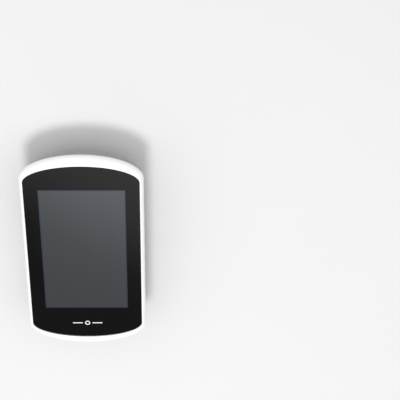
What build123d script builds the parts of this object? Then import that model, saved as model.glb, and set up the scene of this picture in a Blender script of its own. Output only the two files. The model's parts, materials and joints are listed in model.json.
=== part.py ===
from build123d import *
import os
from math import cos, radians, sin

# A handlebar cycling computer, lying on the flat face of its mounting lug.
# +Z is out of the screen, +Y is the top end, +X is to the right seen from the front.
# The origin is the middle of the bounding box's bottom face. Every size is in millimetres.

os.makedirs("parts", exist_ok=True)

# ---------------------------------------------------------------- driving dimensions

# Cover glass: straight sides and half-ellipse ends, set a little towards the top end
glass_half_width = 25.9
glass_half_length = 46.95
glass_end_rise = 8.3
glass_centre_y = 0.4
glass_thickness = 1.0
glass_gap = 0.1
glass_chamfer = 0.2
glass_adhesive_inset = 0.3

# Front housing: the crowned rim round the glass
overall_height = 22.0
lip_height = 0.25
lip_width = 0.6
rim_side_overhang = 1.8
rim_end_overhang = 4.75
rim_end_rise = 11.8
rim_widest_z = 18.95
rim_tuck = 0.2
rim_angles = (90, 70, 52, 34, 16, 0)
front_bottom_z = 18.6
shelf_thickness = 1.2
front_wall = 1.6

# Seal between the two housings
seal_thickness = 0.4
seal_inset = 0.08
seal_width = 1.1

# Rear housing: a tub whose walls turn in along a quarter ellipse to a flat back
case_top_z = front_bottom_z - seal_thickness
case_back_z = 4.3
case_half_width = 27.4
case_half_length = 50.8
case_end_rise = 11.7
case_side_inset = 8.0
case_end_inset = 17.0
case_rise_inset = 2.7
case_wall = 1.8
case_angles = range(0, 91, 15)

# Display: a 3.0 inch cell, set towards the top end
display_width = 42.5
display_length = 71.5
display_centre_y = 2.1
cell_thickness = 1.3
cell_chamfer = 0.3
backlight_thickness = 1.8
backlight_corner = 0.8
optical_adhesive_thickness = 0.15
optical_adhesive_inset = 0.5
touch_thickness = 0.3
touch_width = 44.4
touch_length = 77.0
touch_corner = 1.0
touch_gap = 0.2
window_clearance = 0.4

# Main board
board_top_z = 15.2
board_thickness = 1.0
board_half_width = 20.3
board_half_length = 37.5
board_end_half_width = 17.0
board_end_half_length = 44.2
tongue_half_width = 6.0
tongue_length = 10.0
tongue_end_y = 47.2

# Housing screws: one near each corner and one at each side
corner_screw_x = 19.2
corner_screw_y = 40.3
side_screw_x = 23.2
screw_seat_z = 10.0
column_top_z = 14.0
housing_screw_radius = 0.8
housing_screw_tip_z = 18.2
screw_head_radius = 1.55
screw_head_height = 1.2
thread_clearance = 0.02
shank_clearance = 0.1
head_clearance = 0.25
hole_end_clearance = 0.2
boss_gap = 0.1
boss_radius = 1.6
column_radius = 2.5

# Board screws, through the board and the bracket into posts on the front housing
low_post = (15.0, -38.5)
high_post = (14.5, 42.1)
post_radius = 1.6
board_screw_radius = 0.6
board_screw_tip_z = 18.8
board_screw_head_radius = 1.25
board_screw_head_height = 0.8

# Display bracket
bracket_thickness = 0.6
bracket_half_width = 20.5
bracket_tab_width = 4.0
bracket_tab_length = 6.0
bracket_corner = 1.5
bracket_window_width = 30.0
bracket_window_length = 24.0
bracket_window_corner = 2.0
bracket_window_places = [(0, 18.0), (0, -16.0)]
collar_radius = 1.4

# Quarter-turn lug
lug_centre_y = -6.0
lug_core_radius = 12.75
lug_wing_radius = 15.5
lug_wing_thickness = 2.0
lug_wing_width = 17.5
lug_edge_chamfer = 0.3
lug_spigot_radius = 10.0
lug_spigot_height = 1.0
lug_spigot_clearance = 0.05
lug_screw_circle = 8.0
lug_screw_angles = (45, 135, 225, 315)
lug_screw_radius = 0.8
lug_screw_head_radius = 1.7
lug_screw_seat_z = 1.5
lug_screw_tip_z = 6.6
lug_pad_radius = 12.0
lug_pad_height = 1.0
lug_screw_head_height = 1.2
detent_radius = 0.6
detent_rise = 0.15

# Tether eye, under the bottom end
eye_y = -43.4
eye_z = 4.9
eye_radius = 2.2
eye_hole_radius = 1.2
eye_width = 4.4

# Power key on the left side, its clip, its seal and the switch behind it
key_y = 22.0
key_z = 13.2
key_length = 13.0
key_height = 4.8
key_gap = 0.15
key_outer_x = -27.65
key_inner_x = -25.75
key_floor_x = -25.3
key_block_x = -23.9
key_block_half_length = 9.0
key_block_half_height = 4.0
key_edge_fillet = 0.6
stem_radius = 1.1
stem_clearance = 0.05
stem_tip_x = -21.35
key_seal_thickness = 0.8
key_seal_radius = 1.9
clip_thickness = 0.5
clip_radius = 1.7
clip_gap = 0.1
plunger_outer_x = -21.3
plunger_inner_x = -19.9
plunger_width = 2.0
plunger_height = 0.9
plunger_clearance = 0.05
switch_outer_x = -20.4
switch_inner_x = -17.4
switch_width = 4.6
switch_height = 1.9
switch_slot_depth = 1.0

# Weather cap over the charging socket at the bottom end
cap_half_width = 9.25
cap_low_z = 9.4
cap_high_z = 16.8
cap_thickness = 1.2
cap_gap = 0.15
cap_pocket_depth = 1.75
cap_boss_half_width = 5.5
cap_boss_low_z = 10.4
cap_boss_high_z = 15.6
cap_boss_end_y = -46.5
anchor_half_width = 7.0
anchor_low_z = 8.0
anchor_depth = 1.3
anchor_gap = 0.05
cap_hinge_y = -46.89
cap_hinge_radius = 0.4
cap_hinge_half_width = 5.5
cap_hinge_clearance = 0.05
recess_half_width = 5.8
recess_low_z = 10.1
recess_high_z = 15.95
recess_end_y = -46.2
port_block_half_width = 11.0
port_block_low_z = 7.4
port_block_high_z = 17.2
port_block_end_y = -44.2

# Charging socket
socket_width = 7.5
socket_height = 2.6
socket_depth = 5.0
socket_wall = 0.3
socket_corner = 0.8
socket_mouth_y = -44.15
tunnel_clearance = 0.4
contact_width = 4.0
contact_thickness = 0.6
contact_rise = 0.25
contact_setback = 1.2

# Battery
battery_width = 36.0
battery_length = 50.0
battery_thickness = 4.6
battery_centre_y = -2.0
battery_corner = 1.5
battery_fillet = 0.8
battery_pad_radius = 11.0
battery_pad_thickness = 0.5

# Flat cables
flex_thickness = 0.2
display_flex_half_width = 6.0
display_flex_drop = 0.6
display_flex_reach = 1.75
display_flex_end_y = -30.5
touch_flex_x = -8.5
touch_flex_half_width = 2.75
touch_flex_reach = 1.05
touch_flex_end_y = 36.0
touch_slot_width = 7.0
touch_slot_length = 1.6
touch_slot_reach = 1.2
wide_bend_radius = 0.9
battery_flex_half_width = 2.0
battery_flex_reach = 1.8
battery_flex_end_y = 26.5
tight_bend_radius = 0.7

# Components on the board: the place of the middle, then (width, length, height)
connector_height = 1.1
top_entry_height = 0.8
under_entry_height = 0.6
processor_place = (-9.0, 8.0)
processor_size = (10.0, 10.0, 0.9)
memory_place = (3.0, 8.0)
memory_size = (8.0, 10.0, 0.8)
receiver_place = (9.0, 36.4)
receiver_size = (5.0, 5.0, 0.8)
satellite_antenna_place = (0, 42.6)
satellite_antenna_size = (9.0, 9.0, 3.0)
radio_antenna_place = (12.0, -42.8)
radio_antenna_size = (6.0, 2.0, 1.0)
display_connector_place = (0, -29.0)
display_connector_size = (14.0, 3.0, connector_height)
touch_connector_place = (touch_flex_x, 34.5)
touch_connector_size = (7.0, 3.0, connector_height)
battery_connector_place = (0, 28.0)
battery_connector_size = (6.0, 3.0, connector_height)
main_shield_place = (-4.0, 6.0)
main_shield_size = (26.0, 24.0, 1.8)
radio_shield_size = (12.0, 8.0, 1.6)
shield_sheet = 0.2
shield_corner = 0.8
buzzer_place = (9.5, -36.0)
buzzer_radius = 4.5
buzzer_height = 2.5
buzzer_fillet = 0.4
buzzer_hole_radius = 0.8
buzzer_hole_depth = 1.0

# ---------------------------------------------------------------- levels worked out from those

crown_top_z = overall_height - lip_height
glass_top_z = crown_top_z
glass_bottom_z = glass_top_z - glass_thickness
shelf_top_z = glass_bottom_z - touch_thickness
shelf_bottom_z = shelf_top_z - shelf_thickness
cell_top_z = shelf_top_z - optical_adhesive_thickness
backlight_top_z = cell_top_z - cell_thickness
bracket_top_z = backlight_top_z - backlight_thickness
bracket_bottom_z = bracket_top_z - bracket_thickness
board_bottom_z = board_top_z - board_thickness
case_floor_z = case_back_z + case_wall
lug_pad_top_z = case_floor_z + lug_pad_height
battery_bottom_z = lug_pad_top_z + battery_pad_thickness

corner_screws = [(i * corner_screw_x, j * corner_screw_y) for i in (-1, 1) for j in (-1, 1)]
side_screws = [(-side_screw_x, 0), (side_screw_x, 0)]
housing_screw_places = corner_screws + side_screws
lug_screw_places = [
    (lug_screw_circle * cos(radians(a)), lug_centre_y + lug_screw_circle * sin(radians(a)))
    for a in lug_screw_angles
]
post_places = [(side * x, y) for side in (-1, 1) for x, y in (low_post, high_post)]
display_top_y = display_centre_y + display_length / 2
display_bottom_y = display_centre_y - display_length / 2
battery_top_y = battery_centre_y + battery_length / 2
top_flex_z = board_top_z + top_entry_height
under_flex_z = board_bottom_z - under_entry_height
side_switch_low_z = board_bottom_z - switch_height
socket_centre_z = board_bottom_z - socket_height / 2


# ---------------------------------------------------------------- shared shapes


def oval(half_width, half_length, end_rise, centre_y=0):
    """A face with two straight sides and two half-ellipse ends."""
    high = centre_y + half_length - end_rise
    low = centre_y - half_length + end_rise
    with BuildSketch() as face:
        with BuildLine():
            Line((half_width, low), (half_width, high))
            EllipticalCenterArc((0, high), half_width, end_rise, start_angle=0, arc_size=180)
            Line((-half_width, high), (-half_width, low))
            EllipticalCenterArc((0, low), half_width, end_rise, start_angle=180, arc_size=180)
        make_face()
    return face.sketch


def glass_oval(margin):
    """The glass outline, grown by a margin all round."""
    return oval(
        glass_half_width + margin,
        glass_half_length + margin,
        glass_end_rise + margin,
        glass_centre_y,
    )


def slab(face, low_z, high_z):
    """A face drawn on the XY plane, extruded between two levels."""
    with BuildPart() as plate:
        with BuildSketch(Plane.XY.offset(low_z)):
            add(face)
        extrude(amount=high_z - low_z)
    return plate.part


def oval_stack(levels):
    """A solid lofted through ovals, each one (z, half_width, half_length, end_rise, centre_y)."""
    with BuildPart() as stack:
        for z, *shape in levels:
            with BuildSketch(Plane.XY.offset(z)):
                add(oval(*shape))
        loft()
    return stack.part


def block(low, high):
    """A box between two opposite corners."""
    with BuildPart() as solid:
        with Locations(low):
            Box(
                high[0] - low[0],
                high[1] - low[1],
                high[2] - low[2],
                align=(Align.MIN, Align.MIN, Align.MIN),
            )
    return solid.part


def rim_levels():
    """The rim, from its tucked-under foot up its widest line to the edge of the glass."""
    levels = [
        (
            front_bottom_z,
            glass_half_width + rim_side_overhang - rim_tuck,
            glass_half_length + rim_end_overhang - rim_tuck,
            rim_end_rise - rim_tuck,
            0,
        )
    ]
    for angle in rim_angles:
        out = sin(radians(angle))
        up = cos(radians(angle))
        levels.append(
            (
                rim_widest_z + (crown_top_z - rim_widest_z) * up,
                glass_half_width + rim_side_overhang * out,
                glass_half_length + rim_end_overhang * out,
                glass_end_rise + (rim_end_rise - glass_end_rise) * out,
                glass_centre_y * (1 - out),
            )
        )
    return levels


def case_stack(inset, floor_z):
    """The rear housing's form: its outer surface moved in by an inset and ended at a floor."""
    levels = []
    for angle in case_angles:
        down = sin(radians(angle))
        inward = 1 - cos(radians(angle))
        levels.append(
            (
                case_top_z - (case_top_z - floor_z) * down,
                case_half_width - inset - case_side_inset * inward,
                case_half_length - inset - case_end_inset * inward,
                case_end_rise - inset / 2 - case_rise_inset * inward,
                0,
            )
        )
    return oval_stack(levels)


def screws(places, seat_z, tip_z, radius, head_radius, head_height):
    """Screws driven upwards, each with a hexagonal socket in the underside of its head."""
    with BuildPart() as group:
        for x, y in places:
            with BuildSketch(Plane.XY.offset(seat_z - head_height)):
                with Locations((x, y)):
                    Circle(head_radius)
            extrude(amount=head_height)
            with BuildSketch(Plane.XY.offset(seat_z)):
                with Locations((x, y)):
                    Circle(radius)
            extrude(amount=tip_z - seat_z)
            with BuildSketch(Plane.XY.offset(seat_z - head_height)):
                with Locations((x, y)):
                    RegularPolygon(head_radius / 2, 6)
            extrude(amount=head_height / 2, mode=Mode.SUBTRACT)
    return group.part


def x_cylinder(y, z, radius, half_width):
    """A round bar along X."""
    with BuildPart() as bar:
        with BuildSketch(Plane.YZ.offset(-half_width)):
            with Locations((y, z)):
                Circle(radius)
        extrude(amount=2 * half_width)
    return bar.part


def flex(points, bend_radius, half_width, centre_x):
    """A flat cable that follows a bent line in the YZ plane."""
    with BuildPart() as strip:
        with BuildSketch(Plane.YZ.offset(centre_x)):
            with BuildLine():
                FilletPolyline(*points, radius=bend_radius)
            trace(line_width=flex_thickness)
        extrude(amount=half_width, both=True)
    return strip.part


# ---------------------------------------------------------------- front housing

with BuildPart() as front_housing:
    add(oval_stack(rim_levels()))
    add(slab(glass_oval(glass_gap + lip_width), crown_top_z - 3 * lip_height, overall_height))
    fillet(front_housing.edges().group_by(Axis.Z)[-1], lip_height)
    # Pocket for the glass and the adhesive under it
    add(slab(glass_oval(glass_gap), shelf_top_z, overall_height), mode=Mode.SUBTRACT)
    # Space inside the rim, under the shelf
    with BuildSketch(Plane.XY.offset(front_bottom_z)):
        add(
            oval(
                glass_half_width + rim_side_overhang - front_wall,
                glass_half_length + rim_end_overhang - front_wall,
                rim_end_rise - front_wall / 2,
            )
        )
    extrude(amount=shelf_bottom_z - front_bottom_z, mode=Mode.SUBTRACT)
    # Window for the display, with a slot beside it for the touch cable
    with BuildSketch(Plane.XY.offset(shelf_bottom_z)):
        with Locations((0, display_centre_y)):
            Rectangle(display_width + 2 * window_clearance, display_length + 2 * window_clearance)
        with Locations((touch_flex_x, display_top_y + touch_slot_reach)):
            Rectangle(touch_slot_width, touch_slot_length)
    extrude(amount=shelf_thickness, mode=Mode.SUBTRACT)
    # Bosses for the housing screws and posts for the bracket
    with BuildSketch(Plane.XY.offset(column_top_z + boss_gap)):
        with Locations(*housing_screw_places):
            Circle(boss_radius)
    extrude(amount=shelf_bottom_z - column_top_z - boss_gap)
    with BuildSketch(Plane.XY.offset(bracket_top_z)):
        with Locations(*post_places):
            Circle(post_radius)
    extrude(amount=shelf_bottom_z - bracket_top_z)
    with BuildSketch(Plane.XY.offset(column_top_z)):
        with Locations(*housing_screw_places):
            Circle(housing_screw_radius + thread_clearance)
    extrude(amount=housing_screw_tip_z + hole_end_clearance - column_top_z, mode=Mode.SUBTRACT)
    with BuildSketch(Plane.XY.offset(bracket_top_z)):
        with Locations(*post_places):
            Circle(board_screw_radius + thread_clearance)
    extrude(amount=board_screw_tip_z + hole_end_clearance - bracket_top_z, mode=Mode.SUBTRACT)
front_housing.part.label = "front_housing"
export_step(front_housing.part, "parts/front_housing.step")

# ---------------------------------------------------------------- glass and display stack

with BuildPart() as cover_glass:
    add(slab(glass_oval(0), glass_bottom_z, glass_top_z))
    chamfer(cover_glass.edges().group_by(Axis.Z)[-1], glass_chamfer)
cover_glass.part.label = "cover_glass"
export_step(cover_glass.part, "parts/cover_glass.step")

with BuildPart() as glass_adhesive:
    with BuildSketch(Plane.XY.offset(shelf_top_z)):
        add(glass_oval(-glass_adhesive_inset))
        with Locations((0, display_centre_y)):
            Rectangle(touch_width + 2 * touch_gap, touch_length + 2 * touch_gap, mode=Mode.SUBTRACT)
    extrude(amount=touch_thickness)
glass_adhesive.part.label = "glass_adhesive"
export_step(glass_adhesive.part, "parts/glass_adhesive.step")

with BuildPart() as touch_sensor:
    with BuildSketch(Plane.XY.offset(shelf_top_z)):
        with Locations((0, display_centre_y)):
            RectangleRounded(touch_width, touch_length, touch_corner)
    extrude(amount=touch_thickness)
touch_sensor.part.label = "touch_sensor"
export_step(touch_sensor.part, "parts/touch_sensor.step")

with BuildPart() as optical_adhesive:
    with BuildSketch(Plane.XY.offset(cell_top_z)):
        with Locations((0, display_centre_y)):
            Rectangle(
                display_width - 2 * optical_adhesive_inset,
                display_length - 2 * optical_adhesive_inset,
            )
    extrude(amount=optical_adhesive_thickness)
optical_adhesive.part.label = "optical_adhesive"
export_step(optical_adhesive.part, "parts/optical_adhesive.step")

with BuildPart() as display_cell:
    with BuildSketch(Plane.XY.offset(backlight_top_z)):
        with Locations((0, display_centre_y)):
            Rectangle(display_width, display_length)
    extrude(amount=cell_thickness)
    chamfer(display_cell.edges().filter_by(Axis.Z), cell_chamfer)
display_cell.part.label = "display_cell"
export_step(display_cell.part, "parts/display_cell.step")

with BuildPart() as backlight:
    with BuildSketch(Plane.XY.offset(bracket_top_z)):
        with Locations((0, display_centre_y)):
            RectangleRounded(display_width, display_length, backlight_corner)
    extrude(amount=backlight_thickness)
backlight.part.label = "backlight"
export_step(backlight.part, "parts/backlight.step")

with BuildPart() as display_bracket:
    with BuildSketch(Plane.XY.offset(bracket_bottom_z)):
        with Locations((0, display_centre_y)):
            RectangleRounded(2 * bracket_half_width, display_length, bracket_corner)
            with Locations(*bracket_window_places):
                RectangleRounded(
                    bracket_window_width,
                    bracket_window_length,
                    bracket_window_corner,
                    mode=Mode.SUBTRACT,
                )
        with Locations(*post_places):
            Circle(bracket_tab_width / 2)
        for x, y in post_places:
            with Locations((x, y)):
                towards_plate = Align.MAX if y > 0 else Align.MIN
                Rectangle(bracket_tab_width, bracket_tab_length, align=(Align.CENTER, towards_plate))
    extrude(amount=bracket_thickness)
    with BuildSketch(Plane.XY.offset(board_top_z)):
        with Locations(*post_places):
            Circle(collar_radius)
    extrude(amount=bracket_bottom_z - board_top_z)
    with BuildSketch(Plane.XY.offset(board_top_z)):
        with Locations(*post_places):
            Circle(board_screw_radius + thread_clearance)
    extrude(amount=bracket_top_z - board_top_z, mode=Mode.SUBTRACT)
display_bracket.part.label = "display_bracket"
export_step(display_bracket.part, "parts/display_bracket.step")

# ---------------------------------------------------------------- main board and what is on it

with BuildPart() as main_board:
    with BuildSketch(Plane.XY.offset(board_bottom_z)):
        Rectangle(2 * board_half_width, 2 * board_half_length)
        Rectangle(2 * board_end_half_width, 2 * board_end_half_length)
        with Locations((0, tongue_end_y)):
            Rectangle(2 * tongue_half_width, tongue_length, align=(Align.CENTER, Align.MAX))
    extrude(amount=board_thickness)
    with BuildSketch(Plane.XY.offset(board_bottom_z)):
        with Locations(*post_places):
            Circle(board_screw_radius + thread_clearance)
    extrude(amount=board_thickness, mode=Mode.SUBTRACT)
main_board.part.label = "main_board"
export_step(main_board.part, "parts/main_board.step")

with BuildPart() as board_screws:
    add(
        screws(
            post_places,
            board_bottom_z,
            board_screw_tip_z,
            board_screw_radius,
            board_screw_head_radius,
            board_screw_head_height,
        )
    )
board_screws.part.label = "board_screws"
export_step(board_screws.part, "parts/board_screws.step")


def shield_can(place, size):
    """A folded metal lid that hangs from the underside of the board, open towards it."""
    width, length, height = size
    with BuildPart() as can:
        with BuildSketch(Plane.XY.offset(board_bottom_z - height)):
            with Locations(place):
                RectangleRounded(width, length, shield_corner)
        extrude(amount=height)
        with BuildSketch(Plane.XY.offset(board_bottom_z - height + shield_sheet)):
            with Locations(place):
                RectangleRounded(
                    width - 2 * shield_sheet,
                    length - 2 * shield_sheet,
                    shield_corner - shield_sheet,
                )
        extrude(amount=height - shield_sheet, mode=Mode.SUBTRACT)
    return can.part


def under_board(place, size):
    """A component soldered to the underside of the board."""
    low = (place[0] - size[0] / 2, place[1] - size[1] / 2, board_bottom_z - size[2])
    high = (place[0] + size[0] / 2, place[1] + size[1] / 2, board_bottom_z)
    return block(low, high)


def on_board(place, size):
    """A component soldered to the top of the board."""
    low = (place[0] - size[0] / 2, place[1] - size[1] / 2, board_top_z)
    high = (place[0] + size[0] / 2, place[1] + size[1] / 2, board_top_z + size[2])
    return block(low, high)


with BuildPart() as main_shield:
    add(shield_can(main_shield_place, main_shield_size))
main_shield.part.label = "main_shield"
export_step(main_shield.part, "parts/main_shield.step")

with BuildPart() as radio_shield:
    add(shield_can(receiver_place, radio_shield_size))
radio_shield.part.label = "radio_shield"
export_step(radio_shield.part, "parts/radio_shield.step")

with BuildPart() as processor_chip:
    add(under_board(processor_place, processor_size))
processor_chip.part.label = "processor_chip"
export_step(processor_chip.part, "parts/processor_chip.step")

with BuildPart() as memory_chip:
    add(under_board(memory_place, memory_size))
memory_chip.part.label = "memory_chip"
export_step(memory_chip.part, "parts/memory_chip.step")

with BuildPart() as receiver_chip:
    add(under_board(receiver_place, receiver_size))
receiver_chip.part.label = "receiver_chip"
export_step(receiver_chip.part, "parts/receiver_chip.step")

with BuildPart() as satellite_antenna:
    add(on_board(satellite_antenna_place, satellite_antenna_size))
satellite_antenna.part.label = "satellite_antenna"
export_step(satellite_antenna.part, "parts/satellite_antenna.step")

with BuildPart() as radio_antenna:
    add(on_board(radio_antenna_place, radio_antenna_size))
radio_antenna.part.label = "radio_antenna"
export_step(radio_antenna.part, "parts/radio_antenna.step")

with BuildPart() as display_connector:
    add(on_board(display_connector_place, display_connector_size))
display_connector.part.label = "display_connector"
export_step(display_connector.part, "parts/display_connector.step")

with BuildPart() as touch_connector:
    add(on_board(touch_connector_place, touch_connector_size))
touch_connector.part.label = "touch_connector"
export_step(touch_connector.part, "parts/touch_connector.step")

with BuildPart() as battery_connector:
    add(under_board(battery_connector_place, battery_connector_size))
battery_connector.part.label = "battery_connector"
export_step(battery_connector.part, "parts/battery_connector.step")

with BuildPart() as buzzer:
    with BuildSketch(Plane.XY.offset(board_bottom_z - buzzer_height)):
        with Locations(buzzer_place):
            Circle(buzzer_radius)
    extrude(amount=buzzer_height)
    fillet(buzzer.edges().group_by(Axis.Z)[0], buzzer_fillet)
    with BuildSketch(Plane.XY.offset(board_bottom_z - buzzer_height)):
        with Locations(buzzer_place):
            Circle(buzzer_hole_radius)
    extrude(amount=buzzer_hole_depth, mode=Mode.SUBTRACT)
buzzer.part.label = "buzzer"
export_step(buzzer.part, "parts/buzzer.step")

# ---------------------------------------------------------------- flat cables

display_exit_z = bracket_top_z + backlight_thickness - display_flex_drop
with BuildPart() as display_flex:
    add(
        flex(
            [
                (display_bottom_y, display_exit_z),
                (display_bottom_y - display_flex_reach, display_exit_z),
                (display_bottom_y - display_flex_reach, top_flex_z),
                (display_flex_end_y, top_flex_z),
            ],
            wide_bend_radius,
            display_flex_half_width,
            0,
        )
    )
display_flex.part.label = "display_flex"
export_step(display_flex.part, "parts/display_flex.step")

with BuildPart() as touch_flex:
    add(
        flex(
            [
                (display_top_y + touch_flex_reach, shelf_top_z),
                (display_top_y + touch_flex_reach, top_flex_z),
                (touch_flex_end_y, top_flex_z),
            ],
            wide_bend_radius,
            touch_flex_half_width,
            touch_flex_x,
        )
    )
touch_flex.part.label = "touch_flex"
export_step(touch_flex.part, "parts/touch_flex.step")

battery_exit_z = battery_bottom_z + battery_thickness / 2
with BuildPart() as battery_flex:
    add(
        flex(
            [
                (battery_top_y, battery_exit_z),
                (battery_top_y + battery_flex_reach, battery_exit_z),
                (battery_top_y + battery_flex_reach, under_flex_z),
                (battery_flex_end_y, under_flex_z),
            ],
            tight_bend_radius,
            battery_flex_half_width,
            0,
        )
    )
battery_flex.part.label = "battery_flex"
export_step(battery_flex.part, "parts/battery_flex.step")

# ---------------------------------------------------------------- battery

with BuildPart() as battery:
    with BuildSketch(Plane.XY.offset(battery_bottom_z)):
        with Locations((0, battery_centre_y)):
            RectangleRounded(battery_width, battery_length, battery_corner)
    extrude(amount=battery_thickness)
    battery_rims = battery.edges().group_by(Axis.Z)
    fillet(battery_rims[0] + battery_rims[-1], battery_fillet)
battery.part.label = "battery"
export_step(battery.part, "parts/battery.step")

with BuildPart() as battery_pad:
    with BuildSketch(Plane.XY.offset(lug_pad_top_z)):
        with Locations((0, lug_centre_y)):
            Circle(battery_pad_radius)
    extrude(amount=battery_pad_thickness)
battery_pad.part.label = "battery_pad"
export_step(battery_pad.part, "parts/battery_pad.step")

# ---------------------------------------------------------------- housing seal

with BuildPart() as housing_seal:
    with BuildSketch(Plane.XY.offset(case_top_z)):
        for inset, mode in ((seal_inset, Mode.ADD), (seal_inset + seal_width, Mode.SUBTRACT)):
            add(
                oval(case_half_width - inset, case_half_length - inset, case_end_rise - inset / 2),
                mode=mode,
            )
    extrude(amount=seal_thickness)
housing_seal.part.label = "housing_seal"
export_step(housing_seal.part, "parts/housing_seal.step")

# ---------------------------------------------------------------- rear housing

case_outer = case_stack(0, case_back_z)

# The hollow inside the tub, less everything that stands up in it
with BuildPart() as case_hollow:
    add(case_stack(case_wall, case_floor_z))
    with BuildSketch(Plane.XY.offset(case_floor_z)):
        with Locations((0, lug_centre_y)):
            Circle(lug_pad_radius)
    extrude(amount=lug_pad_height, mode=Mode.SUBTRACT)
    with BuildSketch(Plane.XY.offset(case_floor_z)):
        with Locations(*housing_screw_places):
            Circle(column_radius)
    extrude(amount=column_top_z - case_floor_z, mode=Mode.SUBTRACT)
    add(
        block(
            (-port_block_half_width, -case_half_length, port_block_low_z),
            (port_block_half_width, port_block_end_y, port_block_high_z),
        ),
        mode=Mode.SUBTRACT,
    )
    add(
        block(
            (-case_half_width, key_y - key_block_half_length, key_z - key_block_half_height),
            (key_block_x, key_y + key_block_half_length, key_z + key_block_half_height),
        ),
        mode=Mode.SUBTRACT,
    )

# The groove for the anchor strip, filled
with BuildPart() as anchor_seat:
    add(case_outer)
    add(
        block(
            (-anchor_half_width, -case_half_length, anchor_low_z),
            (anchor_half_width, 0, cap_low_z - anchor_gap),
        ),
        mode=Mode.INTERSECT,
    )
    add(case_stack(anchor_depth, case_back_z), mode=Mode.SUBTRACT)

# The anchor strip that the weather cap hinges from, with a round groove for the cap's roll
with BuildPart() as cap_anchor:
    add(anchor_seat.part)
    add(
        x_cylinder(
            cap_hinge_y,
            cap_low_z,
            cap_hinge_radius + cap_hinge_clearance,
            cap_hinge_half_width + cap_hinge_clearance,
        ),
        mode=Mode.SUBTRACT,
    )
cap_anchor.part.label = "cap_anchor"
export_step(cap_anchor.part, "parts/cap_anchor.step")

# The shallow pocket that the cap lies in, a cutter open to the outside
with BuildPart() as cap_pocket:
    add(
        block(
            (-cap_half_width - cap_gap, -case_half_length, cap_low_z - anchor_gap),
            (cap_half_width + cap_gap, 0, cap_high_z + cap_gap),
        )
    )
    add(case_stack(cap_pocket_depth, case_back_z), mode=Mode.SUBTRACT)

with BuildPart() as rear_housing:
    add(case_outer)
    with BuildSketch(Plane.YZ.offset(-eye_width / 2)):
        with Locations((eye_y, eye_z)):
            Circle(eye_radius)
    extrude(amount=eye_width)
    add(case_hollow.part, mode=Mode.SUBTRACT)
    with BuildSketch(Plane.YZ.offset(-eye_width / 2)):
        with Locations((eye_y, eye_z)):
            Circle(eye_hole_radius)
    extrude(amount=eye_width, mode=Mode.SUBTRACT)
    # Recess and tunnel of the charging socket, and the cap's pocket and anchor groove
    add(cap_pocket.part, mode=Mode.SUBTRACT)
    add(anchor_seat.part, mode=Mode.SUBTRACT)
    add(
        block(
            (-recess_half_width, -case_half_length, recess_low_z),
            (recess_half_width, recess_end_y, recess_high_z),
        ),
        mode=Mode.SUBTRACT,
    )
    add(
        block(
            (
                -socket_width / 2 - tunnel_clearance,
                recess_end_y,
                board_bottom_z - socket_height - tunnel_clearance,
            ),
            (
                socket_width / 2 + tunnel_clearance,
                port_block_end_y,
                board_bottom_z + tunnel_clearance,
            ),
        ),
        mode=Mode.SUBTRACT,
    )
    # Pocket and stem bore of the power key
    with BuildSketch(Plane.YZ.offset(key_floor_x)):
        with Locations((key_y, key_z)):
            SlotOverall(key_length + 2 * key_gap, key_height + 2 * key_gap)
    extrude(amount=-case_half_width - key_floor_x, mode=Mode.SUBTRACT)
    with BuildSketch(Plane.YZ.offset(key_floor_x)):
        with Locations((key_y, key_z)):
            Circle(stem_radius + stem_clearance)
    extrude(amount=key_block_x - key_floor_x, mode=Mode.SUBTRACT)
    # Seat and screw holes of the lug
    with BuildSketch(Plane.XY.offset(case_back_z)):
        with Locations((0, lug_centre_y)):
            Circle(lug_spigot_radius + lug_spigot_clearance)
    extrude(amount=lug_spigot_height, mode=Mode.SUBTRACT)
    with BuildSketch(Plane.XY.offset(case_back_z)):
        with Locations(*lug_screw_places):
            Circle(lug_screw_radius + thread_clearance)
    extrude(amount=lug_screw_tip_z + hole_end_clearance - case_back_z, mode=Mode.SUBTRACT)
    # Holes of the housing screws
    with BuildSketch(Plane.XY.offset(screw_seat_z)):
        with Locations(*housing_screw_places):
            Circle(screw_head_radius + head_clearance)
    extrude(amount=-screw_seat_z, mode=Mode.SUBTRACT)
    with BuildSketch(Plane.XY.offset(screw_seat_z)):
        with Locations(*housing_screw_places):
            Circle(housing_screw_radius + shank_clearance)
    extrude(amount=column_top_z - screw_seat_z, mode=Mode.SUBTRACT)
rear_housing.part.label = "rear_housing"
export_step(rear_housing.part, "parts/rear_housing.step")

with BuildPart() as housing_screws:
    add(
        screws(
            housing_screw_places,
            screw_seat_z,
            housing_screw_tip_z,
            housing_screw_radius,
            screw_head_radius,
            screw_head_height,
        )
    )
housing_screws.part.label = "housing_screws"
export_step(housing_screws.part, "parts/housing_screws.step")

# ---------------------------------------------------------------- weather cap

with BuildPart() as cap_relief:
    add(case_stack(cap_thickness, case_back_z))
    add(
        block(
            (-cap_boss_half_width, -case_half_length, cap_boss_low_z),
            (cap_boss_half_width, cap_boss_end_y, cap_boss_high_z),
        ),
        mode=Mode.SUBTRACT,
    )

with BuildPart() as weather_cap:
    add(case_outer)
    add(
        block(
            (-cap_half_width, -case_half_length, cap_low_z),
            (cap_half_width, cap_boss_end_y, cap_high_z),
        ),
        mode=Mode.INTERSECT,
    )
    add(cap_relief.part, mode=Mode.SUBTRACT)
    add(x_cylinder(cap_hinge_y, cap_low_z, cap_hinge_radius, cap_hinge_half_width))
weather_cap.part.label = "weather_cap"
export_step(weather_cap.part, "parts/weather_cap.step")

# ---------------------------------------------------------------- charging socket


def socket_section(margin):
    """The socket's section, a rectangle with its two lower corners cut off, shrunk by a margin."""
    half_width = socket_width / 2 - margin
    half_height = socket_height / 2 - margin
    with BuildSketch() as section:
        with BuildLine():
            Polyline(
                (-half_width, half_height),
                (half_width, half_height),
                (half_width, socket_corner - half_height),
                (half_width - socket_corner, -half_height),
                (socket_corner - half_width, -half_height),
                (-half_width, socket_corner - half_height),
                close=True,
            )
        make_face()
    return section.sketch


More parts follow.
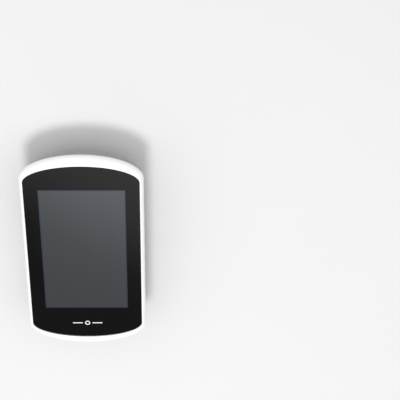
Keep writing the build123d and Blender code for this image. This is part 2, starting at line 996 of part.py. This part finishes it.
socket_plane = Plane(origin=(0, socket_mouth_y, socket_centre_z), x_dir=(-1, 0, 0), z_dir=(0, 1, 0))

with BuildPart() as usb_shell:
    with BuildSketch(socket_plane):
        add(socket_section(0))
    extrude(amount=socket_depth)
    with BuildSketch(socket_plane):
        add(socket_section(socket_wall))
    extrude(amount=socket_depth - socket_wall, mode=Mode.SUBTRACT)
usb_shell.part.label = "usb_shell"
export_step(usb_shell.part, "parts/usb_shell.step")

with BuildPart() as usb_tongue:
    with BuildSketch(socket_plane.offset(contact_setback)):
        with Locations((0, contact_rise)):
            Rectangle(contact_width, contact_thickness)
    extrude(amount=socket_depth - socket_wall - contact_setback)
usb_tongue.part.label = "usb_tongue"
export_step(usb_tongue.part, "parts/usb_tongue.step")

# ---------------------------------------------------------------- side switch and power key

with BuildPart() as side_switch:
    add(
        block(
            (switch_outer_x, key_y - switch_width / 2, side_switch_low_z),
            (switch_inner_x, key_y + switch_width / 2, board_bottom_z),
        )
    )
    with BuildSketch(Plane.YZ.offset(switch_outer_x)):
        with Locations((key_y, key_z)):
            Rectangle(plunger_width + 2 * plunger_clearance, plunger_height + 2 * plunger_clearance)
    extrude(amount=switch_slot_depth, mode=Mode.SUBTRACT)
side_switch.part.label = "side_switch"
export_step(side_switch.part, "parts/side_switch.step")

with BuildPart() as switch_plunger:
    with BuildSketch(Plane.YZ.offset(plunger_outer_x)):
        with Locations((key_y, key_z)):
            Rectangle(plunger_width, plunger_height)
    extrude(amount=plunger_inner_x - plunger_outer_x)
switch_plunger.part.label = "switch_plunger"
export_step(switch_plunger.part, "parts/switch_plunger.step")

with BuildPart() as power_key:
    with BuildSketch(Plane.YZ.offset(key_outer_x)):
        with Locations((key_y, key_z)):
            SlotOverall(key_length, key_height)
    extrude(amount=key_inner_x - key_outer_x)
    fillet(power_key.edges().group_by(Axis.X)[0], key_edge_fillet)
    with BuildSketch(Plane.YZ.offset(key_inner_x)):
        with Locations((key_y, key_z)):
            Circle(stem_radius)
    extrude(amount=stem_tip_x - key_inner_x)
power_key.part.label = "power_key"
export_step(power_key.part, "parts/power_key.step")

with BuildPart() as key_seal:
    with BuildSketch(Plane.YZ.offset(key_block_x)):
        with Locations((key_y, key_z)):
            Circle(key_seal_radius)
            Circle(stem_radius + stem_clearance / 2, mode=Mode.SUBTRACT)
    extrude(amount=key_seal_thickness)
key_seal.part.label = "key_seal"
export_step(key_seal.part, "parts/key_seal.step")

with BuildPart() as key_clip:
    with BuildSketch(Plane.YZ.offset(key_block_x + key_seal_thickness + clip_gap)):
        with Locations((key_y, key_z)):
            Circle(clip_radius)
            Circle(stem_radius, mode=Mode.SUBTRACT)
    extrude(amount=clip_thickness)
key_clip.part.label = "key_clip"
export_step(key_clip.part, "parts/key_clip.step")

# ---------------------------------------------------------------- quarter-turn lug

# Two wings, to the left and right, each with a detent groove across its upper face
with BuildPart() as lug_wings:
    with BuildSketch():
        with Locations((0, lug_centre_y)):
            Circle(lug_wing_radius)
            Rectangle(2 * lug_wing_radius, lug_wing_width, mode=Mode.INTERSECT)
    extrude(amount=lug_wing_thickness)
    chamfer(lug_wings.edges().group_by(Axis.Z)[0], lug_edge_chamfer)
    for side in (-1, 1):
        with BuildSketch(Plane.YZ.offset(side * lug_core_radius)):
            with Locations((lug_centre_y, lug_wing_thickness + detent_rise)):
                Circle(detent_radius)
        extrude(amount=side * (lug_wing_radius - lug_core_radius), mode=Mode.SUBTRACT)

with BuildPart() as mounting_lug:
    with BuildSketch():
        with Locations((0, lug_centre_y)):
            Circle(lug_core_radius)
    extrude(amount=case_back_z)
    chamfer(mounting_lug.edges().group_by(Axis.Z)[0], lug_edge_chamfer)
    add(lug_wings.part)
    with BuildSketch(Plane.XY.offset(case_back_z)):
        with Locations((0, lug_centre_y)):
            Circle(lug_spigot_radius)
    extrude(amount=lug_spigot_height)
    # Counterbored holes for its screws
    for low_z, high_z, radius in (
        (0, lug_screw_seat_z, lug_screw_head_radius + shank_clearance),
        (lug_screw_seat_z, case_back_z + lug_spigot_height, lug_screw_radius + shank_clearance),
    ):
        with BuildSketch(Plane.XY.offset(low_z)):
            with Locations(*lug_screw_places):
                Circle(radius)
        extrude(amount=high_z - low_z, mode=Mode.SUBTRACT)
mounting_lug.part.label = "mounting_lug"
export_step(mounting_lug.part, "parts/mounting_lug.step")

with BuildPart() as lug_screws:
    add(
        screws(
            lug_screw_places,
            lug_screw_seat_z,
            lug_screw_tip_z,
            lug_screw_radius,
            lug_screw_head_radius,
            lug_screw_head_height,
        )
    )
lug_screws.part.label = "lug_screws"
export_step(lug_screws.part, "parts/lug_screws.step")
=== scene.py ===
import json
import math

import bmesh
import bpy
from mathutils import Matrix, Vector


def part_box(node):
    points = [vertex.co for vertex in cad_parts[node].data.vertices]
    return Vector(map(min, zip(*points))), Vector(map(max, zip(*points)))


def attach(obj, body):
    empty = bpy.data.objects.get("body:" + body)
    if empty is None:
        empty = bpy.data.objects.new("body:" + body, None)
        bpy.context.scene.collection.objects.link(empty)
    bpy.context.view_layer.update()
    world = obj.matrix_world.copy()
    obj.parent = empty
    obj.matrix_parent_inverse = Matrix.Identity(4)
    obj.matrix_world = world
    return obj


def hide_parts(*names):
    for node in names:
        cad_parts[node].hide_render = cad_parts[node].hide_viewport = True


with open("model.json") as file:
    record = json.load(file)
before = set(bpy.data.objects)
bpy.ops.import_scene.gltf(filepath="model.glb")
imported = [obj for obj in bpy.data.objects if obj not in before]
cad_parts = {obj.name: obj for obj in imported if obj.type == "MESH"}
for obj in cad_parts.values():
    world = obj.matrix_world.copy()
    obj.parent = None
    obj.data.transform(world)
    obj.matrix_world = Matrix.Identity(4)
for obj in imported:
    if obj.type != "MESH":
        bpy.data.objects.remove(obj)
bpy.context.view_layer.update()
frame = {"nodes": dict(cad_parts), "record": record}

# Everything is in metres, in the CAD model's frame: +Z out of the screen, +Y to the top end,
# +X to the right seen from the front. The device lies on its mounting lug on a pale floor.

MM = 0.001
NODES = frame["nodes"]

# Lengths in millimetres: the display's active area as seen through the glass
WINDOW_HALF_WIDTH = 19.44
WINDOW_HALF_LENGTH = 32.4
WINDOW_Y = 2.75
# The glass outline's end arcs and its edge
GLASS_END_RISE = 8.3
GLASS_BEVEL = 0.2
GLASS_END_POINTS = 96
# The mark on the border, the on/off sign and the weather cap's ribs
MARK_Y = -38.5
MARK_RING_RADII = (0.75, 1.2)
MARK_BAR_REACH = (2.3, 7.0)
MARK_BAR_HALF_WIDTH = 0.24
PRINT_THICKNESS = 0.012
SIGN_RADII = (0.85, 1.15)
SIGN_GAP_ANGLE = 0.6
SIGN_BAR_HALF_WIDTH = 0.15
SIGN_BAR_TOP = 1.3
SIGN_THICKNESS = 0.02
RIB_HEIGHTS = (12.2, 13.5, 14.8)
RIB_HALF_LENGTH = 4.6
RIB_HALF_HEIGHT = 0.3
RIB_DEPTH = 0.22
RIB_SUNK = 0.03
# The contacts of the charging socket
CONTACT_PITCH = 0.65
CONTACT_HALF_WIDTH = 0.16
CONTACT_REACH = (0.2, 2.8)
CONTACT_THICKNESS = 0.03


# ---------------------------------------------------------------- material helpers


def new_material(name, base, roughness, **inputs):
    """A Principled material with its constant values set on the shader's own sockets."""
    material = bpy.data.materials.new(name)
    material.use_nodes = True
    shader = shader_of(material)
    shader.inputs["Base Color"].default_value = (*base, 1.0)
    shader.inputs["Roughness"].default_value = roughness
    for socket, value in inputs.items():
        shader.inputs[socket.replace("_", " ")].default_value = value
    return material


def shader_of(material):
    return material.node_tree.nodes["Principled BSDF"]


def add_node(material, kind, **settings):
    node = material.node_tree.nodes.new(kind)
    for name, value in settings.items():
        setattr(node, name, value)
    return node


def link(material, output, target):
    material.node_tree.links.new(output, target)


def place(material, stretch=(1, 1, 1), turn=(0, 0, 0)):
    """The object's own coordinates in metres, stretched and turned."""
    coordinates = add_node(material, "ShaderNodeTexCoord")
    mapping = add_node(material, "ShaderNodeMapping")
    mapping.inputs["Scale"].default_value = stretch
    mapping.inputs["Rotation"].default_value = turn
    link(material, coordinates.outputs["Object"], mapping.inputs["Vector"])
    return mapping.outputs["Vector"]


def noise(material, feature, detail=3.0, stretch=(1, 1, 1), turn=(0, 0, 0)):
    """Noise from 0 to 1 whose features are about that many millimetres across."""
    texture = add_node(material, "ShaderNodeTexNoise")
    texture.inputs["Scale"].default_value = 1.0 / (feature * MM)
    texture.inputs["Detail"].default_value = detail
    link(material, place(material, stretch, turn), texture.inputs["Vector"])
    return texture.outputs["Fac"]


def cells(material, feature):
    """Distance from the middle of Voronoi cells about that many millimetres across."""
    texture = add_node(material, "ShaderNodeTexVoronoi")
    texture.inputs["Scale"].default_value = 1.0 / (feature * MM)
    link(material, place(material), texture.inputs["Vector"])
    return texture.outputs["Distance"]


def remap(material, value, low, high, start=0.0, end=1.0):
    """Maps start..end to low..high, and holds the ends."""
    node = add_node(material, "ShaderNodeMapRange")
    node.inputs["From Min"].default_value = start
    node.inputs["From Max"].default_value = end
    node.inputs["To Min"].default_value = low
    node.inputs["To Max"].default_value = high
    link(material, value, node.inputs["Value"])
    return node.outputs["Result"]


def calculate(material, operation, first, second):
    """A Math node on sockets or constants."""
    node = add_node(material, "ShaderNodeMath", operation=operation)
    for target, value in zip(node.inputs, (first, second)):
        if isinstance(value, (int, float)):
            target.default_value = value
        else:
            link(material, value, target)
    return node.outputs["Value"]


def mix_colours(material, factor, first, second):
    node = add_node(material, "ShaderNodeMix", data_type="RGBA")
    link(material, factor, node.inputs["Factor"])
    colour_inputs = [i for i in node.inputs if i.type == "RGBA"]
    for target, colour in zip(colour_inputs, (first, second)):
        if isinstance(colour, tuple):
            target.default_value = (*colour, 1.0)
        else:
            link(material, colour, target)
    return [o for o in node.outputs if o.type == "RGBA"][0]


def paint(material, colour):
    link(material, colour, shader_of(material).inputs["Base Color"])


def sheen(material, value):
    link(material, value, shader_of(material).inputs["Roughness"])


def relief(material, height, depth):
    """Adds relief of that many millimetres to the relief that the shader already has."""
    normal = shader_of(material).inputs["Normal"]
    node = add_node(material, "ShaderNodeBump")
    node.inputs["Distance"].default_value = depth * MM
    link(material, height, node.inputs["Height"])
    if normal.is_linked:
        link(material, normal.links[0].from_socket, node.inputs["Normal"])
    link(material, node.outputs["Normal"], normal)


def darker(colour, share):
    return tuple(c * share for c in colour)


# ---------------------------------------------------------------- materials


def moulded(name, base, roughness, grain, depth, wear=0.06):
    """Moulded plastic or rubber: slow flow marks, an uneven sheen, a fine grain and faint scuffs.

    The grain's size and depth are in millimetres; wear sets how strong marks and scuffs are.
    """
    material = new_material(name, base, roughness)
    paint(material, mix_colours(material, noise(material, 7.0), base, darker(base, 1 - wear)))
    unevenness = noise(material, 2.5, 4.0)
    patches = remap(material, unevenness, roughness - wear, roughness + wear, 0.3, 0.7)
    streaks = noise(material, 0.5, 2.0, (1, 0.06, 1), (0, 0, 0.7))
    scuffs = remap(material, streaks, 0.0, 2 * wear, 0.66, 0.8)
    sheen(material, calculate(material, "ADD", patches, scuffs))
    relief(material, noise(material, grain, 2.0), depth)
    return material


def metal(name, base, roughness, stretch):
    """Rolled or turned metal: fine lines one way, and dull patches."""
    material = new_material(name, base, roughness, Metallic=1.0)
    lines = noise(material, 0.12, 2.0, stretch)
    paint(material, mix_colours(material, noise(material, 1.5), base, darker(base, 0.85)))
    sheen(material, remap(material, lines, roughness - 0.1, roughness + 0.14, 0.3, 0.7))
    relief(material, lines, 0.004)
    return material


def solder_mask(name):
    """Green circuit board: raised tracks under the lacquer."""
    material = new_material(name, (0.01, 0.09, 0.035), 0.35)
    tracks = remap(material, cells(material, 2.2), 0.0, 1.0, 0.25, 0.3)
    paint(material, mix_colours(material, tracks, (0.02, 0.16, 0.06), (0.008, 0.08, 0.03)))
    sheen(material, remap(material, noise(material, 1.0), 0.28, 0.45))
    relief(material, tracks, 0.03)
    return material


def crinkled_pouch(name):
    material = new_material(name, (0.42, 0.43, 0.45), 0.35, Metallic=0.7)
    folds_and_shade = noise(material, 6.0, 4.0, (1, 0.4, 1))
    # The colour follows the folds: the crests are painted lighter and the hollows darker, which is
    # painted shade in the creases on top of the bump.
    paint(material, mix_colours(material, folds_and_shade, (0.4, 0.41, 0.43), (0.5, 0.51, 0.53)))
    sheen(material, remap(material, noise(material, 0.8), 0.28, 0.45))
    relief(material, folds_and_shade, 0.08)
    return material


def open_foam(name):
    material = new_material(name, (0.03, 0.03, 0.03), 0.9)
    pores_and_shade = cells(material, 0.25)
    # The pores' pits are painted darker than their rims: painted shade in the hollows, drawn from
    # the same cells as the relief.
    paint(material, mix_colours(material, pores_and_shade, (0.015, 0.015, 0.015), (0.06, 0.06, 0.06)))
    sheen(material, remap(material, noise(material, 0.6), 0.8, 1.0))
    relief(material, pores_and_shade, 0.08)
    return material


def clear_film(name):
    """Clear plastic film over the display, faintly grey, with a fine grain."""
    material = new_material(name, (0.3, 0.31, 0.33), 0.15)
    tone = mix_colours(material, noise(material, 9.0), (0.28, 0.29, 0.31), (0.34, 0.35, 0.37))
    paint(material, tone)
    sheen(material, remap(material, noise(material, 0.4), 0.1, 0.22))
    relief(material, noise(material, 0.15), 0.003)
    return material


def black_border():
    """Polished glass over a black print, with faint wipe marks."""
    material = new_material("black_border", (0.003, 0.003, 0.0034), 0.04, Specular_IOR_Level=0.55)
    clouds = noise(material, 5.0)
    tone = mix_colours(material, clouds, (0.0028, 0.0028, 0.0032), (0.0045, 0.0045, 0.005))
    paint(material, tone)
    wipes = noise(material, 2.5, 5.0, (1, 0.25, 1), (0, 0, 0.5))
    sheen(material, remap(material, wipes, 0.03, 0.09, 0.45, 0.8))
    relief(material, noise(material, 0.6, 2.0), 0.0006)
    return material


def unlit_display():
    """An unlit display behind the glass: dark grey, hazy, a little bluer along its edges."""
    material = new_material(
        "unlit_display",
        (0.038, 0.039, 0.043),
        0.14,
        Specular_IOR_Level=0.95,
        Specular_Tint=(0.78, 0.92, 1.0, 1.0),
        Coat_Weight=1.0,
        Coat_Roughness=0.04,
    )
    position = add_node(material, "ShaderNodeSeparateXYZ")
    link(material, place(material), position.inputs["Vector"])
    aside = calculate(material, "ABSOLUTE", position.outputs["X"], 0.0)
    from_middle = calculate(material, "SUBTRACT", position.outputs["Y"], WINDOW_Y * MM)
    along = calculate(material, "ABSOLUTE", from_middle, 0.0)
    side_margin = calculate(material, "SUBTRACT", WINDOW_HALF_WIDTH * MM, aside)
    end_margin = calculate(material, "SUBTRACT", WINDOW_HALF_LENGTH * MM, along)
    margin = calculate(material, "MINIMUM", side_margin, end_margin)
    edge = remap(material, margin, 0.0, 1.0, 0.1 * MM, 0.7 * MM)
    clouds = noise(material, 12.0)
    body = mix_colours(material, clouds, (0.0388, 0.0398, 0.044), (0.0415, 0.0427, 0.0472))
    paint(material, mix_colours(material, edge, (0.012, 0.019, 0.05), body))
    sheen(material, remap(material, noise(material, 0.12, 1.0), 0.11, 0.17))
    relief(material, noise(material, 0.15, 1.0), 0.0008)
    return material


def white_print():
    material = new_material("white_print", (0.85, 0.85, 0.85), 0.5)
    paint(material, mix_colours(material, noise(material, 0.3), (0.8, 0.8, 0.8), (0.9, 0.9, 0.9)))
    sheen(material, remap(material, noise(material, 0.2), 0.4, 0.6))
    return material


steel = metal("steel", (0.62, 0.62, 0.63), 0.3, (1, 0.05, 1))
gold = metal("gold", (0.75, 0.55, 0.22), 0.25, (1, 0.05, 1))
dark_steel = metal("dark_steel", (0.16, 0.16, 0.165), 0.34, (1, 1, 0.1))
black_plastic = moulded("black_plastic", (0.018, 0.018, 0.018), 0.42, 0.2, 0.008)
display_material = unlit_display()
border_material = black_border()
print_material = white_print()

SLOT_MATERIALS = {
    "white_case": moulded("white_plastic", (0.87, 0.873, 0.855), 0.3, 0.22, 0.002, 0.02),
    "grey_case": moulded("grey_plastic", (0.34, 0.34, 0.336), 0.5, 0.3, 0.014),
    "cover_glass": border_material,
    "adhesive": moulded("adhesive", (0.02, 0.02, 0.02), 0.6, 0.4, 0.01),
    "clear_film": clear_film("clear_film"),
    "display": display_material,
    "backlight": moulded("backlight", (0.8, 0.8, 0.78), 0.4, 0.3, 0.004),
    "steel": steel,
    "screw_steel": dark_steel,
    "circuit_board": solder_mask("circuit_board"),
    "black_plastic": black_plastic,
    "lug_plastic": moulded("lug_plastic", (0.026, 0.026, 0.028), 0.45, 0.3, 0.014),
    "flex_film": moulded("flex_film", (0.42, 0.17, 0.03), 0.3, 0.5, 0.006),
    "ceramic": moulded("ceramic", (0.6, 0.53, 0.42), 0.55, 0.15, 0.01),
    "cell_wrap": crinkled_pouch("cell_wrap"),
    "foam": open_foam("foam"),
    "seal_rubber": moulded("seal_rubber", (0.015, 0.015, 0.015), 0.55, 0.25, 0.01),
    "cap_rubber": moulded("cap_rubber", (0.38, 0.38, 0.375), 0.6, 0.2, 0.012),
    "key_rubber": moulded("key_rubber", (0.11, 0.11, 0.115), 0.5, 0.2, 0.01),
}
for subpart in frame["record"]["subparts"]:
    mesh = NODES[subpart["node"]].data
    mesh.materials.clear()
    mesh.materials.append(SLOT_MATERIALS[subpart["material_slot"]])

# ---------------------------------------------------------------- pieces


def make_piece(name, mesh, body, materials):
    piece = bpy.data.objects.new(name, mesh)
    for material in materials:
        mesh.materials.append(material)
    bpy.context.scene.collection.objects.link(piece)
    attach(piece, body)
    return piece


def oval_points(half_width, half_length, end_rise, centre_y, count):
    """Points anticlockwise round two straight sides and two half-ellipse ends, in millimetres."""
    straight = half_length - end_rise
    points = []
    for end in (1, -1):
        for i in range(count + 1):
            angle = math.pi * i / count
            x = end * half_width * math.cos(angle)
            points.append((x, centre_y + end * (straight + end_rise * math.sin(angle))))
    return points


def make_cover_glass():
    """The glass pane: a chamfered slab whose top face is split into the border and the window."""
    low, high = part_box("cover_glass")
    half_width, half_length = high.x / MM, (high.y - low.y) / 2 / MM
    centre_y = (high.y + low.y) / 2 / MM
    bottom_z, top_z = low.z / MM, high.z / MM
    end_rise, bevel = GLASS_END_RISE, GLASS_BEVEL
    grid = bmesh.new()

    def ring(inset, z):
        size = (half_width - inset, half_length - inset, end_rise - inset / 2)
        outline = oval_points(*size, centre_y, GLASS_END_POINTS)
        return [grid.verts.new((x * MM, y * MM, z * MM)) for x, y in outline]

    bevel_middle = 0.3 * bevel
    loops = [
        ring(0, bottom_z),
        ring(0, top_z - bevel),
        ring(bevel_middle, top_z - bevel_middle),
        ring(bevel, top_z),
    ]
    count = len(loops[0])
    for lower, upper in zip(loops, loops[1:]):
        for i in range(count):
            j = (i + 1) % count
            grid.faces.new((lower[i], lower[j], upper[j], upper[i]))
    grid.faces.new(loops[0])
    corners = []
    for x, y in ((-1, -1), (1, -1), (1, 1), (-1, 1)):
        corner = (x * WINDOW_HALF_WIDTH, WINDOW_Y + y * WINDOW_HALF_LENGTH, top_z)
        corners.append(grid.verts.new([value * MM for value in corner]))
    window = grid.faces.new(corners)
    window.material_index = 1
    rim = loops[-1]
    border_edges = [grid.edges.get((rim[i], rim[(i + 1) % count])) for i in range(count)]
    border_edges.extend(window.edges)
    filled = bmesh.ops.triangle_fill(grid, edges=border_edges, use_beauty=True)
    inside = [
        f
        for f in filled["geom"]
        if isinstance(f, bmesh.types.BMFace) and all(v in corners for v in f.verts)
    ]
    bmesh.ops.delete(grid, geom=inside, context="FACES_ONLY")
    mesh = finish_mesh("cover_glass_pane", grid)
    looks = [border_material, display_material]
    pane = make_piece("cover_glass_pane", mesh, "case", looks)
    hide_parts("cover_glass")


def join_sections(grid, sections, closed=False):
    """A closed skin over sections of equal size; the ends are filled unless it runs in a ring."""
    pairs = list(zip(sections, sections[1:]))
    if closed:
        pairs.append((sections[-1], sections[0]))
    else:
        grid.faces.new(sections[0])
        grid.faces.new(sections[-1])
    for first, second in pairs:
        for i in range(len(first)):
            j = (i + 1) % len(first)
            grid.faces.new((first[i], first[j], second[j], second[i]))


def add_strip(grid, pairs, offset, closed=False):
    """A thin strip between pairs of points, in metres, as thick as the offset on each side."""
    sections = []
    for a, b in pairs:
        corners = ((a, -1), (b, -1), (b, 1), (a, 1))
        sections.append([grid.verts.new(Vector(point) + side * offset) for point, side in corners])
    join_sections(grid, sections, closed)


def add_arc(grid, to_point, radii, start, end, steps, offset, closed=False):
    """A flat arc; to_point turns (across, up) in millimetres into a point in metres."""
    pairs = []
    for i in range(steps if closed else steps + 1):
        angle = start + (end - start) * i / steps
        pairs.append([to_point(r * math.cos(angle), r * math.sin(angle)) for r in radii])
    add_strip(grid, pairs, offset, closed)


def add_bar(grid, to_point, low, high, offset):
    pairs = [[to_point(low[0], up), to_point(high[0], up)] for up in (low[1], high[1])]
    add_strip(grid, pairs, offset)


def finish_mesh(name, grid):
    bmesh.ops.recalc_face_normals(grid, faces=grid.faces)
    mesh = bpy.data.meshes.new(name)
    grid.to_mesh(mesh)
    grid.free()
    return mesh


def make_front_mark():
    """A plain printed device on the border under the display: a ring between two bars."""
    top_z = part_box("cover_glass")[1].z
    grid = bmesh.new()
    offset = Vector((0, 0, PRINT_THICKNESS * MM))

    def to_point(across, up):
        return (across * MM, (MARK_Y + up) * MM, top_z)

    for side in (-1, 1):
        near, far = sorted(side * reach for reach in MARK_BAR_REACH)
        add_bar(grid, to_point, (near, -MARK_BAR_HALF_WIDTH), (far, MARK_BAR_HALF_WIDTH), offset)
    add_arc(grid, to_point, MARK_RING_RADII, 0, 2 * math.pi, 32, offset, closed=True)
    mesh = finish_mesh("front_mark", grid)
    make_piece("front_mark", mesh, "case", [print_material])


def make_power_symbol():
    """The usual on/off sign, printed on the power key."""
    low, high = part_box("power_key")
    centre_y, centre_z = (low.y + high.y) / 2, (low.z + high.z) / 2
    grid = bmesh.new()
    offset = Vector((-SIGN_THICKNESS * MM, 0, 0))

    def to_point(across, up):
        return (low.x, centre_y - across * MM, centre_z + up * MM)

    start, end = math.pi / 2 + SIGN_GAP_ANGLE, 5 * math.pi / 2 - SIGN_GAP_ANGLE
    add_arc(grid, to_point, SIGN_RADII, start, end, 28, offset)
    half_width = SIGN_BAR_HALF_WIDTH
    add_bar(grid, to_point, (-half_width, half_width), (half_width, SIGN_BAR_TOP), offset)
    mesh = finish_mesh("power_symbol", grid)
    make_piece("power_symbol", mesh, "power_key", [print_material])


def make_cap_ribs():
    """Three low finger ribs moulded across the weather cap."""
    cap = NODES["weather_cap"]
    inward = Vector((0, 1, 0))
    outside_y = -0.08
    grid = bmesh.new()
    for centre_z in RIB_HEIGHTS:
        rows = []
        for i in range(25):
            share = i / 12 - 1
            taper = math.sqrt(max(0.0, 1 - share**6))
            row = []
            for k in range(9):
                angle = math.pi * k / 8
                z = centre_z - RIB_HALF_HEIGHT * math.cos(angle) * max(taper, 0.15)
                start = Vector((share * RIB_HALF_LENGTH * MM, outside_y, z * MM))
                _, spot, normal, _ = cap.ray_cast(start, inward)
                height = RIB_DEPTH * math.sin(angle) * taper - RIB_SUNK
                row.append(grid.verts.new(spot + normal * height * MM))
            rows.append(row)
        join_sections(grid, rows)
    for face in grid.faces:
        face.smooth = True
    mesh = finish_mesh("cap_ribs", grid)
    make_piece("cap_ribs", mesh, "weather_cap", [SLOT_MATERIALS["cap_rubber"]])


def make_socket_contacts():
    """Five gold strips under the tongue of the charging socket."""
    low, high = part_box("usb_tongue")
    grid = bmesh.new()
    offset = Vector((0, 0, -CONTACT_THICKNESS * MM))
    near, far = CONTACT_REACH

    def to_point(across, along):
        return (across * MM, low.y + along * MM, low.z)

    for i in range(-2, 3):
        left = i * CONTACT_PITCH - CONTACT_HALF_WIDTH
        right = i * CONTACT_PITCH + CONTACT_HALF_WIDTH
        add_bar(grid, to_point, (left, near), (right, far), offset)
    mesh = finish_mesh("socket_contacts", grid)
    make_piece("socket_contacts", mesh, "case", [gold])


make_cover_glass()
make_front_mark()
make_power_symbol()
make_cap_ribs()
make_socket_contacts()

# ---------------------------------------------------------------- floor, light, camera


def make_floor():
    mesh = bpy.data.meshes.new("floor")
    half = 3.0
    corners = [(-half, -half, 0), (half, -half, 0), (half, half, 0), (-half, half, 0)]
    mesh.from_pydata(corners, [], [(0, 1, 2, 3)])
    floor = bpy.data.objects.new("floor", mesh)
    bpy.context.scene.collection.objects.link(floor)
    material = new_material("floor", (0.73, 0.73, 0.73), 0.8, Specular_IOR_Level=0.2)
    clouds = noise(material, 150.0)
    paint(material, mix_colours(material, clouds, (0.74, 0.74, 0.74), (0.72, 0.72, 0.72)))
    mesh.materials.append(material)


def make_world():
    """A soft studio dome with a dark patch in front, which the glass mirrors as a gradient."""
    world = bpy.data.worlds.new("studio")
    bpy.context.scene.world = world
    world.use_nodes = True
    background = world.node_tree.nodes["Background"]
    coordinates = add_node(world, "ShaderNodeTexCoord")
    direction = add_node(world, "ShaderNodeSeparateXYZ")
    link(world, coordinates.outputs["Generated"], direction.inputs["Vector"])
    x, y, z = (direction.outputs[axis] for axis in "XYZ")
    slant = calculate(world, "ADD", z, calculate(world, "MULTIPLY", x, 0.22))
    patch = add_node(world, "ShaderNodeValToRGB")
    stops = (
        (0.45, 0.85),
        (0.62, 0.09),
        (0.79, 0.09),
        (0.81, 0.15),
        (0.835, 0.5),
        (0.865, 0.8),
        (0.9, 0.95),
    )
    ramp = patch.color_ramp
    for position, _ in stops[2:]:
        ramp.elements.new(position)
    for element, (position, level) in zip(ramp.elements, stops):
        element.position = position
        element.color = (level, level, level, 1.0)
    link(world, slant, patch.inputs["Fac"])
    backward = remap(world, y, 0.0, 1.0, 0.1, 0.5)
    low_down = remap(world, z, 1.0, 0.0, 0.15, 0.4)
    behind = calculate(world, "MULTIPLY", backward, low_down)
    around = mix_colours(world, behind, (1.0, 1.0, 1.0), (0.5, 0.5, 0.5))
    ahead = remap(world, y, 1.0, 0.0, -0.45, -0.2)
    dome = mix_colours(world, ahead, around, patch.outputs["Color"])
    seen = add_node(world, "ShaderNodeLightPath").outputs["Is Camera Ray"]
    link(world, mix_colours(world, seen, dome, (0.8, 0.8, 0.8)), background.inputs["Color"])
    background.inputs["Strength"].default_value = 1.0


def make_key_light():
    """A large softbox high over the bottom end, a little to the left."""
    data = bpy.data.lights.new("key", "AREA")
    data.shape = "DISK"
    data.size = 0.26
    data.energy = 3.6
    light = bpy.data.objects.new("key", data)
    light.location = (-0.06, -0.19, 0.88)
    light.rotation_euler = (Vector((0, 0, 0)) - light.location).to_track_quat("-Z", "Y").to_euler()
    bpy.context.scene.collection.objects.link(light)


def make_camera():
    eye = Vector((0.04045, 0.28995, 0.4487))
    forward = Vector((0.0247, -0.5196, -0.8541)).normalized()
    right = Vector((0.99968, 0.01188, 0.0186))
    up = right.cross(forward).normalized()
    right = forward.cross(up).normalized()
    data = bpy.data.cameras.new("camera")
    data.sensor_width = 36.0
    data.lens = 100.6
    camera = bpy.data.objects.new("camera", data)
    turn = Matrix((right, up, -forward)).transposed().to_4x4()
    camera.matrix_world = Matrix.Translation(eye) @ turn
    bpy.context.scene.collection.objects.link(camera)
    bpy.context.scene.camera = camera


make_floor()
make_world()
make_key_light()
make_camera()
bpy.context.scene.view_settings.view_transform = "Standard"
